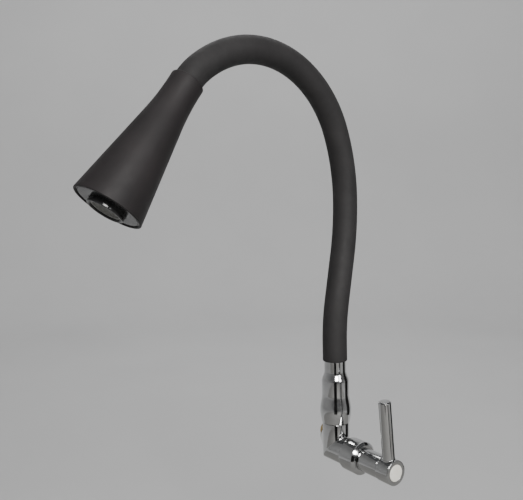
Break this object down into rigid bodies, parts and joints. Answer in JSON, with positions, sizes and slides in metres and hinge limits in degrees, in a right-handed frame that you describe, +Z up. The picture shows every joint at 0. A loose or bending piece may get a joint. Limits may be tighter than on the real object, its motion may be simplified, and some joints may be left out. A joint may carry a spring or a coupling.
{
  "type": "kitchen faucet",
  "caption": "Wall-mounted single-lever kitchen tap with a bendable silicone-sleeved hose spout on a chrome swivel foot and a black cone spray head.",
  "frame": {"origin": "on the inlet thread's axis, at the sealing washer's face that seats on the wall fitting", "axes": "+Z up, +Y into the wall along the inlet thread, -Y out of the wall, +X to the right seen from the front"},
  "size_m": [0.24, 0.2121, 0.3686],
  "materials": {
    "chrome": "polished chrome plate",
    "brass": "plain machined brass",
    "seal_rubber": "matte rubber",
    "steel": "plain stainless steel",
    "ceramic": "lapped alumina ceramic",
    "white_plastic": "cream moulded plastic",
    "silicone": "matte charcoal silicone",
    "black_plastic": "satin black moulded plastic",
    "gloss_black": "glossy black plastic",
    "mesh_plastic": "grey moulded screen"
  },
  "bodies": {
    "tap_body": {"valve_body": "chrome", "inlet_nipple": "brass", "inlet_washer": "seal_rubber", "chest_ring": "chrome", "headwork_body": "brass", "headwork_washer": "seal_rubber", "fixed_disc": "ceramic", "seat_seal": "seal_rubber", "slip_washer": "white_plastic", "retaining_screw": "steel"},
    "lever": {"moving_disc": "ceramic", "spindle": "brass", "spindle_circlip": "steel", "lever_hub": "chrome", "lever_bar": "chrome", "handle_screw": "steel", "index_cap": "white_plastic"},
    "spout": {"spout_foot": "chrome", "spout_spigot": "brass", "spigot_o_rings": "seal_rubber", "hose_barb": "brass", "sleeve_foot": "silicone", "gooseneck_foot": "steel", "water_tube_foot": "seal_rubber"},
    "hose_rise": {"sleeve_rise": "silicone", "gooseneck_rise": "steel", "water_tube_rise": "seal_rubber"},
    "hose_arch": {"sleeve_arch": "silicone", "gooseneck_arch": "steel", "water_tube_arch": "seal_rubber"},
    "hose_end": {"sleeve_end": "silicone", "gooseneck_end": "steel", "water_tube_end": "seal_rubber", "hose_end_fitting": "brass", "neck_o_ring": "seal_rubber", "neck_clip": "steel"},
    "head": {"head_shell": "black_plastic", "head_insert": "black_plastic", "face_plate": "gloss_black", "aerator_washer": "seal_rubber", "flow_disc": "white_plastic", "nozzle_ring": "gloss_black", "aerator_mesh": "mesh_plastic"}
  },
  "joints": [
    {"name": "lever_turn", "type": "hinge", "parent": "tap_body", "child": "lever", "pos_m": [0, -0.03, 0], "axis": [0.5736, -0.8192, 0], "range_deg": [-5, 85]},
    {"name": "spout_swivel", "type": "hinge", "parent": "tap_body", "child": "spout", "pos_m": [0, -0.03, 0.024], "axis": [0, 0, 1], "range_deg": [-45, 130]},
    {"name": "bend_low", "type": "hinge", "parent": "spout", "child": "hose_rise", "pos_m": [0.00648, -0.02329, 0.15803], "axis": [0.7193, -0.6947, 0], "range_deg": [-15, 25]},
    {"name": "bend_middle", "type": "hinge", "parent": "hose_rise", "child": "hose_arch", "pos_m": [0.00383, -0.02604, 0.28501], "axis": [0.6731, -0.739, -0.0278], "range_deg": [-25, 30]},
    {"name": "bend_top", "type": "hinge", "parent": "hose_arch", "child": "hose_end", "pos_m": [-0.06942, -0.09492, 0.34257], "axis": [0.6756, -0.7329, -0.0798], "range_deg": [-30, 30]},
    {"name": "head_swivel", "type": "hinge", "parent": "hose_end", "child": "head", "pos_m": [-0.11438, -0.13307, 0.31222], "axis": [-0.4762, -0.3513, -0.8061], "continuous": true}
  ]
}
